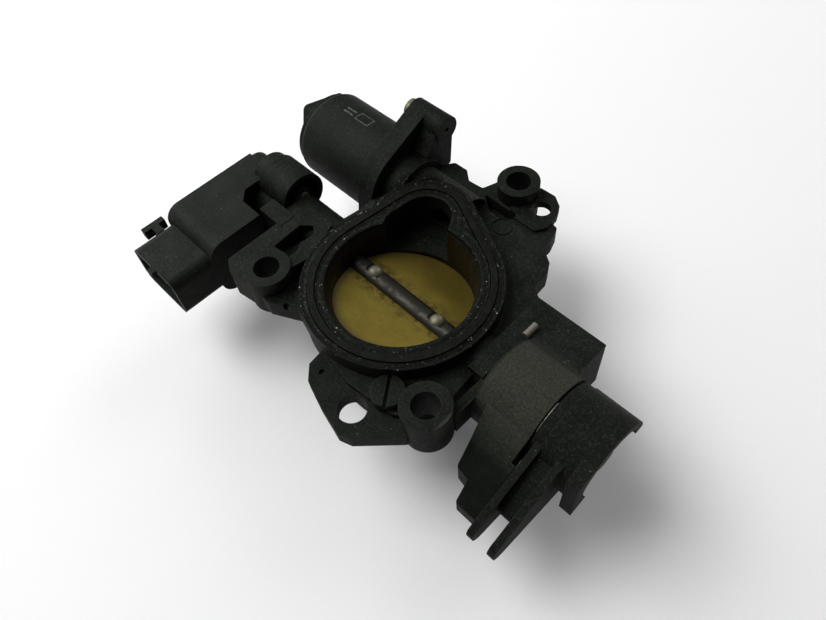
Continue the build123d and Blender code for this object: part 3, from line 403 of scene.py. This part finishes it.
@dataclass(frozen=True)
class BodyPlastic(MouldedPlastic):
    """Body plastic, oily and speckled on the sealing rim and brown inside the bore.

    The ripple of the rim's dirt is in radians per millimetre inwards from its outline.
    """

    bore_radius: float = 25.8
    rim_radius: float = 34.0
    port: tuple[float, float] = (-13.7, 24.8)
    port_rim_radius: float = 17.6
    port_margin: float = 2.0
    drum_start: float = 44.0
    drum_end: float = 65.5
    shade_corner: tuple[float, float, float] = (46.0, -10.0, -9.0)
    ripple: float = 2.6

    def rim(self, graph: Graph) -> Value:
        """Mask of the raised sealing rim.

        Args:
            graph: The graph to build in.

        Returns:
            A mask between 0 and 1.
        """
        x, y, z = graph.axes()
        from_bore = (x * x + y * y) ** 0.5
        dx, dy = x - self.port[0], y - self.port[1]
        from_port = (dx * dx + dy * dy) ** 0.5
        near = (self.rim_radius - from_bore).at_least(self.port_rim_radius + self.port_margin - from_port)
        return near.rising(-0.5, 0.5) * z.rising(-1.0, -0.6)

    def from_edge(self, graph: Graph) -> Value:
        """Distance inwards from the outline of the sealing rim.

        Args:
            graph: The graph to build in.

        Returns:
            The distance in millimetres.
        """
        x, y, _ = graph.axes()
        dx, dy = x - self.port[0], y - self.port[1]
        near_bore = self.rim_radius - (x * x + y * y) ** 0.5
        near_port = self.port_rim_radius - (dx * dx + dy * dy) ** 0.5
        return near_bore.at_least(near_port)

    def inside(self, graph: Graph) -> Value:
        """Mask of the bore wall.

        Args:
            graph: The graph to build in.

        Returns:
            A mask between 0 and 1.
        """
        x, y, z = graph.axes()
        from_bore = (x * x + y * y) ** 0.5
        return from_bore.rising(self.bore_radius, self.bore_radius - 1.2) * z.rising(0.0, -2.5)

    def drum(self, graph: Graph) -> Value:
        """Mask of the upper side of the drum beside the bore, where dust lies and a highlight is painted
        in.

        Args:
            graph: The graph to build in.

        Returns:
            A mask between 0 and 1.
        """
        x, y, z = graph.axes()
        along = x.rising(self.drum_start, self.drum_start + 1.0)
        along = along * x.rising(self.drum_end, self.drum_end - 1.0)
        return along * z.rising(-10.0, -2.0) * y.rising(15.0, 9.0)

    def shaded(self, graph: Graph) -> Value:
        """Mask of the guard's side, where the plastic is painted darker as shade.

        Args:
            graph: The graph to build in.

        Returns:
            A mask between 0 and 1.
        """
        x, y, z = graph.axes()
        start, side, top = self.shade_corner
        return x.rising(start, start + 2.0) * y.rising(side, side - 3.0) * z.rising(top, top - 2.0)

    def material(self) -> bpy.types.Material:
        """The finished material."""
        graph = Graph(self.name)
        graph.set(Specular_IOR_Level=0.1, Specular_Tint=GREEN_SHEEN)
        colour, gloss, relief = self.surface(graph)
        rim = self.rim(graph)
        smear = graph.noise(5.0, 5.0, 0.65, 0.8)
        oil = rim * smear.rising(0.35, 0.6)
        caked = rim * graph.noise(1.6, 5.0, 0.75, 1.2).rising(0.5, 0.66)
        colour = graph.mix(rim * 0.65, colour, RIM_OIL)
        colour = graph.mix(oil * 0.5, colour, RIM_TAR)
        colour = graph.mix(caked * 0.7, colour, CAKED_DIRT)
        cluster = 0.15 + graph.noise(9.0, 2.0, 0.5).rising(0.42, 0.6)
        crumbs = (graph.specks(1.5, 0.26, 0.2) + graph.specks(0.75, 0.36, 0.2)) * rim * cluster
        colour = graph.mix(crumbs.at_most(1.0) * 0.85, colour, CRUMB)
        inside = self.inside(graph)
        streaks = graph.noise(3.0, 4.0, 0.6, 0.3, graph.stretched((1.0, 1.0, 0.25)))
        tar = graph.mix(streaks.rising(0.3, 0.7), TAR, THIN_TAR)
        colour = graph.mix(inside * 0.9, colour, tar)
        # dust and painted highlight: the drum's upper side is drawn lighter and speckled
        dust_and_highlight = self.drum(graph) * (0.4 + 0.6 * graph.noise(0.6, 4.0, 0.75).rising(0.4, 0.65))
        colour = graph.mix(dust_and_highlight * 0.8, colour, DRUM_DUST_AND_HIGHLIGHT)
        # painted shade: the guard's side is drawn darker
        colour = graph.mix(self.shaded(graph) * 0.7, colour, GUARD_PAINTED_SHADE)
        gloss = gloss - 0.2 * oil - 0.14 * inside
        ripple = (self.from_edge(graph) + 0.8 * graph.noise(7.0, 2.0)) * self.ripple
        ridges = ripple.sine() * rim
        colour = graph.mix(ridges.rising(-0.2, -0.9) * 0.6, colour, DARK_PIT)
        relief = relief + crumbs * 1.0 + smear * rim * 3.0 + ridges * 0.7 + caked * 1.2
        return graph.finish(colour, gloss, graph.bump(relief, 0.2, self.soften))


@dataclass(frozen=True)
class PrintedPlastic(MouldedPlastic):
    """Motor can plastic with a faded plain print: an empty rectangle and two short rules."""

    axis_y: float = 38.0
    axis_z: float = -10.0
    radius: float = 17.0
    print_x: float = -60.0
    print_angle: float = 84.0
    half_length: float = 3.4
    half_width: float = 2.0
    ink: Colour = (0.2, 0.2, 0.21)

    def printed(self, graph: Graph) -> Value:
        """Mask of the print.

        Args:
            graph: The graph to build in.

        Returns:
            A mask between 0 and 1.
        """
        x, y, z = graph.axes()
        angle = x.maths("ARCTAN2", z - self.axis_z, y - self.axis_y)
        along = x - self.print_x
        around = (angle - math.radians(self.print_angle)) * self.radius
        lengthways = abs(along) - self.half_length
        border = lengthways.at_least(abs(around) - self.half_width)
        rectangle = abs(border).rising(0.3, 0.18)
        rules = self._rule(along + 7.5, around - 1.4) + self._rule(along + 7.5, around + 0.6)
        fade = graph.noise(0.7, 3.0, 0.7).rising(0.35, 0.6)
        marks = rectangle + rules
        return marks.at_most(1.0) * fade

    @staticmethod
    def _rule(along: Value, around: Value) -> Value:
        """Mask of one short printed rule.

        Args:
            along: Distance from its middle along the can.
            around: Distance from its middle round the can.

        Returns:
            A mask between 0 and 1.
        """
        return abs(along).rising(2.6, 2.4) * abs(around).rising(0.5, 0.36)

    def material(self) -> bpy.types.Material:
        """The finished material."""
        graph = Graph(self.name)
        graph.set(Specular_IOR_Level=0.13, Specular_Tint=(0.86, 1.0, 0.88))
        colour, gloss, relief = self.surface(graph)
        colour = graph.mix(self.printed(graph) * 0.55, colour, self.ink)
        return graph.finish(colour, gloss, graph.bump(relief, 0.1, self.soften))


@dataclass(frozen=True)
class StainedBrass:
    """Rolled brass plate, dulled by oil and brown along its rim, with painted shade beside the shaft and
    over its +Y half.
    """

    name: str
    radius: float = 24.0
    dull: Colour = (0.17, 0.127, 0.016)
    bright: Colour = (0.21, 0.16, 0.023)
    blot: Colour = (0.06, 0.037, 0.006)
    burnt: Colour = (0.05, 0.03, 0.005)
    shadow: Colour = (0.045, 0.03, 0.007)
    pit: Colour = (0.04, 0.026, 0.006)
    freckle: Colour = (0.07, 0.048, 0.006)
    # colour of the painted shade over the plate's +Y half
    upper_half_shade: Colour = (0.07, 0.045, 0.004)
    scratch: Colour = (0.24, 0.19, 0.05)

    def material(self) -> bpy.types.Material:
        """The finished material."""
        graph = Graph(self.name)
        x, y, _ = graph.axes()
        from_axis = (x * x + y * y) ** 0.5
        clouds = graph.noise(9.0, 5.0, 0.6, 0.6)
        blots = graph.noise(3.5, 5.0, 0.7, 0.8)
        grain = graph.noise(0.5, 3.0, 0.6, 0.0, graph.stretched((0.08, 1.0, 1.0)))
        pits = graph.specks(1.6, 0.16, 0.25)
        colour = graph.mix(clouds.rising(0.25, 0.75), self.dull, self.bright)
        colour = graph.mix(blots.rising(0.55, 0.75) * 0.55, colour, self.blot)
        rim = from_axis.rising(self.radius - 3.5, self.radius - 0.4)
        colour = graph.mix(rim * 0.6, colour, self.burnt)
        shade = abs(y).rising(9.0, 4.5) * blots.rising(0.4, 0.6)
        colour = graph.mix(shade * 0.75, colour, self.shadow)
        colour = graph.mix(pits * 0.5, colour, self.pit)
        freckles = graph.noise(0.8, 4.0, 0.75).rising(0.55, 0.72)
        colour = graph.mix(freckles * 0.45, colour, self.freckle)
        # painted shade: the plate is drawn darker towards +Y, the half in the bore wall's shadow
        colour = graph.mix(y.rising(5.0, 16.0) * 0.35, colour, self.upper_half_shade)
        colour = graph.mix(grain.rising(0.5, 0.8) * 0.25, colour, self.scratch)
        gloss = 0.5 + 0.16 * blots - 0.1 * grain
        metal = 0.75 - 0.35 * rim - 0.2 * blots.rising(0.55, 0.75)
        relief = grain * 0.5 + clouds * 0.6 - pits * 0.8
        return graph.finish(colour, gloss, graph.bump(relief, 0.02, 0.2), metal)


@dataclass(frozen=True)
class Metal:
    """Turned, drawn or plated metal with oil stains."""

    name: str
    clean: Colour
    stained: Colour
    roughness: float = 0.38
    lines: tuple[float, float, float] = (1.0, 0.12, 0.12)
    stain: float = 0.6
    metallic: float = 0.9

    def material(self) -> bpy.types.Material:
        """The finished material."""
        graph = Graph(self.name)
        turning = graph.noise(0.25, 3.0, 0.6, 0.0, graph.stretched(self.lines))
        patches = graph.noise(2.5, 5.0, 0.65, 0.5)
        colour = graph.mix(patches.rising(0.4, 0.68) * self.stain, self.clean, self.stained)
        colour = graph.mix(turning.rising(0.4, 0.8) * 0.25, colour, self.stained)
        colour = graph.mix(graph.edges(0.25) * 0.5, colour, tuple(min(1.0, 1.3 * c) for c in self.clean))
        gloss = self.roughness + 0.2 * patches.rising(0.4, 0.7) + 0.08 * turning
        return graph.finish(colour, gloss, graph.bump(turning * 0.6 + patches * 0.5, 0.012, 0.15),
                            self.metallic - 0.2 * patches.rising(0.5, 0.75))


@dataclass(frozen=True)
class Rubber:
    """Moulded seal rubber, oily, with dust stuck to it."""

    name: str
    base: Colour = (0.003, 0.0032, 0.0028)
    smeared: Colour = (0.009, 0.0095, 0.0075)
    dust: Colour = (0.34, 0.34, 0.3)

    def material(self) -> bpy.types.Material:
        """The finished material."""
        graph = Graph(self.name)
        graph.set(Specular_IOR_Level=0.08, Specular_Tint=(0.88, 1.0, 0.86))
        smear = graph.noise(4.0, 5.0, 0.65, 0.5)
        skin = graph.noise(0.4, 2.0, 0.6)
        crumbs = graph.specks(1.0, 0.2, 0.14) * graph.noise(8.0, 2.0).rising(0.5, 0.65)
        colour = graph.mix(smear.rising(0.4, 0.7) * 0.8, self.base, self.smeared)
        colour = graph.mix(crumbs * 0.8, colour, self.dust)
        gloss = 0.42 + 0.2 * smear
        return graph.finish(colour, gloss, graph.bump(skin * 0.4 + smear + crumbs * 0.4, 0.5, 0.4))


@dataclass(frozen=True)
class WoundCopper:
    """Enamelled windings, fine turns side by side round the motor axis.

    The ripple is in radians per millimetre along that axis.
    """

    name: str
    ripple: float = 9.0
    groove: Colour = (0.12, 0.035, 0.01)
    ridge: Colour = (0.42, 0.16, 0.06)
    varnish: Colour = (0.08, 0.03, 0.01)

    def material(self) -> bpy.types.Material:
        """The finished material."""
        graph = Graph(self.name)
        x, _, _ = graph.axes()
        turns = (x * self.ripple).sine() * 0.5 + 0.5
        patches = graph.noise(2.0, 3.0)
        colour = graph.mix(turns, self.groove, self.ridge)
        colour = graph.mix(patches.rising(0.5, 0.8) * 0.4, colour, self.varnish)
        return graph.finish(colour, 0.3 + 0.15 * patches, graph.bump(turns, 0.12), 0.8)


@dataclass(frozen=True)
class PrintedBoard:
    """Sensor board with dark resistive tracks and pale conductors."""

    name: str
    axis_z: float = -12.5
    track_radius: float = 4.9
    conductor_radius: float = 7.4
    resin: tuple[Colour, Colour] = ((0.02, 0.05, 0.025), (0.03, 0.075, 0.035))
    carbon: Colour = (0.012, 0.012, 0.012)
    silver: Colour = (0.35, 0.33, 0.28)

    def material(self) -> bpy.types.Material:
        """The finished material."""
        graph = Graph(self.name)
        _, y, z = graph.axes()
        from_axis = (y * y + (z - self.axis_z) ** 2.0) ** 0.5
        track = abs(from_axis - self.track_radius).rising(0.7, 0.55)
        conductor = abs(from_axis - self.conductor_radius).rising(0.5, 0.4)
        weave = graph.noise(0.5, 2.0)
        colour = graph.mix(weave, *self.resin)
        colour = graph.mix(track, colour, self.carbon)
        colour = graph.mix(conductor, colour, self.silver)
        return graph.finish(colour, 0.35 + 0.2 * weave, graph.bump(weave, 0.02), conductor * 0.7)


# ---------------------------------------------------------------- shared building steps
def dress(node: str, material: bpy.types.Material) -> None:
    """Give a CAD node its material.

    Args:
        node: The node's name.
        material: The material.
    """
    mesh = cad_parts[node].data
    if not mesh.materials:
        mesh.materials.append(material)
    for number in range(len(mesh.materials)):
        mesh.materials[number] = material
    LOG.info("%s: %s", node, material.name)


# ---------------------------------------------------------------- sub-assemblies
@dataclass
class BodyCasting:
    """Moulded body with its seal, bushes, plug and stop."""

    plastic: BodyPlastic = field(default_factory=lambda: BodyPlastic("body_plastic"))

    def dress(self) -> None:
        """Dress the nodes that belong to the body."""
        dress("throttle_body", self.plastic.material())
        dress("channel_plug", MouldedPlastic("plug_plastic", grime=Grime.DUSTY, wear=0.8).material())
        rubber = Rubber("seal_rubber").material()
        for node in ("face_seal", "left_shaft_seal", "right_shaft_seal", "sensor_seal", "motor_seal"):
            dress(node, rubber)
        bronze = Metal("bush_bronze", (0.4, 0.27, 0.1), (0.12, 0.08, 0.03)).material()
        dress("left_bush", bronze)
        dress("right_bush", bronze)
        bright = Metal("pin_steel", (0.24, 0.23, 0.2), (0.08, 0.075, 0.06), 0.38,
                       (1.0, 0.1, 1.0), 0.35).material()
        dress("retaining_pin", bright)


@dataclass
class ShaftLine:
    """Shaft, plate, screws, spring, lever and nut."""

    bright_lines: tuple[float, float, float] = (0.1, 1.0, 1.0)

    def dress(self) -> None:
        """Dress the nodes that turn with the shaft, and the spring and stop."""
        dress("throttle_plate", StainedBrass("plate_brass").material())
        dress("throttle_shaft", Metal("shaft_steel", (0.032, 0.031, 0.025), (0.012, 0.011, 0.009), 0.4,
                                      self.bright_lines, 0.5).material())
        plated = Metal("plated_steel", (0.2, 0.19, 0.13), (0.08, 0.07, 0.045), 0.5,
                       self.bright_lines, 0.4, 0.8).material()
        for node in ("plate_screws", "nut_washer", "shaft_nut", "stop_screw", "stop_screw_nut",
                     "sensor_screws", "motor_screws"):
            dress(node, plated)
        dress("lever_plate", Metal("lever_steel", (0.2, 0.19, 0.17), (0.06, 0.055, 0.045), 0.42).material())
        spring = Metal("spring_wire", (0.14, 0.14, 0.145), (0.06, 0.05, 0.04), 0.35).material()
        dress("return_spring", spring)
        dress("pintle_spring", spring)
        dress("cable_quadrant", MouldedPlastic("quadrant_plastic", base=(0.003, 0.0032, 0.0028),
                                               grime=Grime.HANDLED).material())


@dataclass
class PositionSensor:
    """Sensor case, cover, rotor and plug."""

    shade: Colour = (0.0035, 0.004, 0.004)

    def dress(self) -> None:
        """Dress the sensor's nodes."""
        case = MouldedPlastic("sensor_plastic", base=self.shade, grime=Grime.DUSTY, grain=0.6,
                              roughness=0.5, wear=0.35).material()
        dress("sensor_housing", case)
        dress("sensor_cover", case)
        nylon = MouldedPlastic("sensor_rotor_nylon", base=(0.3, 0.28, 0.22), grime=Grime.OILY,
                               wear=0.1).material()
        dress("sensor_rotor", nylon)
        contact = Metal("contact_brass", (0.55, 0.42, 0.18), (0.2, 0.13, 0.05), 0.25).material()
        for node in ("sensor_wiper", "sensor_terminals", "motor_terminals"):
            dress(node, contact)
        dress("sensor_track", PrintedBoard("sensor_board").material())


@dataclass
class IdleMotor:
    """Idle air motor: can, flange, windings, rotor, pintle and plug."""

    shade: Colour = (0.003, 0.0034, 0.003)

    def dress(self) -> None:
        """Dress the motor's nodes."""
        dress("motor_can", PrintedPlastic("motor_print_plastic", base=self.shade,
                                          grime=Grime.HANDLED, grain=0.6, wear=0.3).material())
        shell = MouldedPlastic("motor_plastic", base=self.shade, grime=Grime.HANDLED).material()
        dress("motor_flange", shell)
        dress("motor_connector", shell)
        dress("motor_coils", WoundCopper("coil_copper").material())
        dress("motor_rotor", MouldedPlastic("magnet_black", base=(0.02, 0.018, 0.016),
                                            grime=Grime.OILY, wear=0.2).material())
        dress("motor_bearing", Metal("bearing_steel", (0.4, 0.4, 0.4), (0.15, 0.14, 0.12)).material())
        dress("valve_pintle", MouldedPlastic("pintle_nylon", base=(0.24, 0.22, 0.17),
                                             grime=Grime.OILY, wear=0.1).material())


@dataclass(frozen=True)
class Lamp:
    """One soft square lamp that looks at the part; metres and watts."""

    name: str
    place: tuple[float, float, float]
    size: float
    power: float

    def hang(self) -> None:
        """Add the lamp to the scene."""
        light = bpy.data.lights.new(self.name, "AREA")
        light.size = self.size
        light.energy = self.power
        lamp = bpy.data.objects.new(self.name, light)
        lamp.location = self.place
        lamp.rotation_euler = (-Vector(self.place)).to_track_quat("-Z", "Y").to_euler()
        bpy.context.scene.collection.objects.link(lamp)


LAMPS = (
    Lamp("key_light", (-0.56, -0.4, 1.1), 0.8, 11.0),
    Lamp("side_light", (-1.14, -0.1, 0.6), 1.4, 13.0),
    Lamp("back_light", (0.0, 1.1, 0.7), 0.9, 5.0),
)


@dataclass
class Studio:
    """Pale floor, soft lights and the camera."""

    lens: float = 30.51
    floor_half: float = 3.0
    floor_gap: float = 0.0002
    sky_strength: float = 0.12
    camera_place: tuple[float, float, float] = (0.108318, -0.084819, 0.181613)
    right: tuple[float, float, float] = (0.70304, 0.70782, -0.06868)
    down: tuple[float, float, float] = (0.55834, -0.60921, -0.56313)
    ahead: tuple[float, float, float] = (-0.44044, 0.35756, -0.82351)

    def floor(self) -> None:
        """Lay the floor just under the lowest point of the part."""
        mesh = bpy.data.meshes.new("floor")
        shape = bmesh.new()
        bmesh.ops.create_grid(shape, x_segments=1, y_segments=1, size=self.floor_half)
        shape.to_mesh(mesh)
        shape.free()
        ground = bpy.data.objects.new("floor", mesh)
        ground.location = (0.0, 0.0, CAD_BOX[0][2] - self.floor_gap)
        bpy.context.scene.collection.objects.link(ground)
        graph = Graph("floor_card")
        fleck = graph.noise(40.0, 3.0)
        colour = graph.mix(fleck, (0.95, 0.95, 0.95), (0.97, 0.97, 0.97))
        mesh.materials.append(graph.finish(colour, 0.9))

    def build(self) -> None:
        """Set up floor, lights, world and camera."""
        self.floor()
        for lamp in LAMPS:
            lamp.hang()
        scene = bpy.context.scene
        world = bpy.data.worlds.new("studio")
        world.use_nodes = True
        sky = world.node_tree.nodes["Background"].inputs
        sky["Color"].default_value = (1.0, 1.0, 1.0, 1.0)
        sky["Strength"].default_value = self.sky_strength
        scene.world = world
        scene.view_settings.view_transform = "Standard"
        camera = bpy.data.cameras.new("camera")
        camera.sensor_width = 36.0
        camera.lens = self.lens
        camera.clip_start = 0.005
        eye = bpy.data.objects.new("camera", camera)
        scene.collection.objects.link(eye)
        right, up, back = Vector(self.right), -Vector(self.down), -Vector(self.ahead)
        turn = Matrix((right, up, back)).transposed()
        eye.matrix_world = Matrix.Translation(self.camera_place) @ turn.to_4x4()
        scene.camera = eye


def main() -> None:
    """Build the sub-assemblies in order."""
    logging.basicConfig(level=logging.INFO)
    for assembly in (BodyCasting(), ShaftLine(), PositionSensor(), IdleMotor()):
        assembly.dress()
        LOG.info("%s done", type(assembly).__name__)
    Studio().build()


if __name__ == "__main__":
    main()
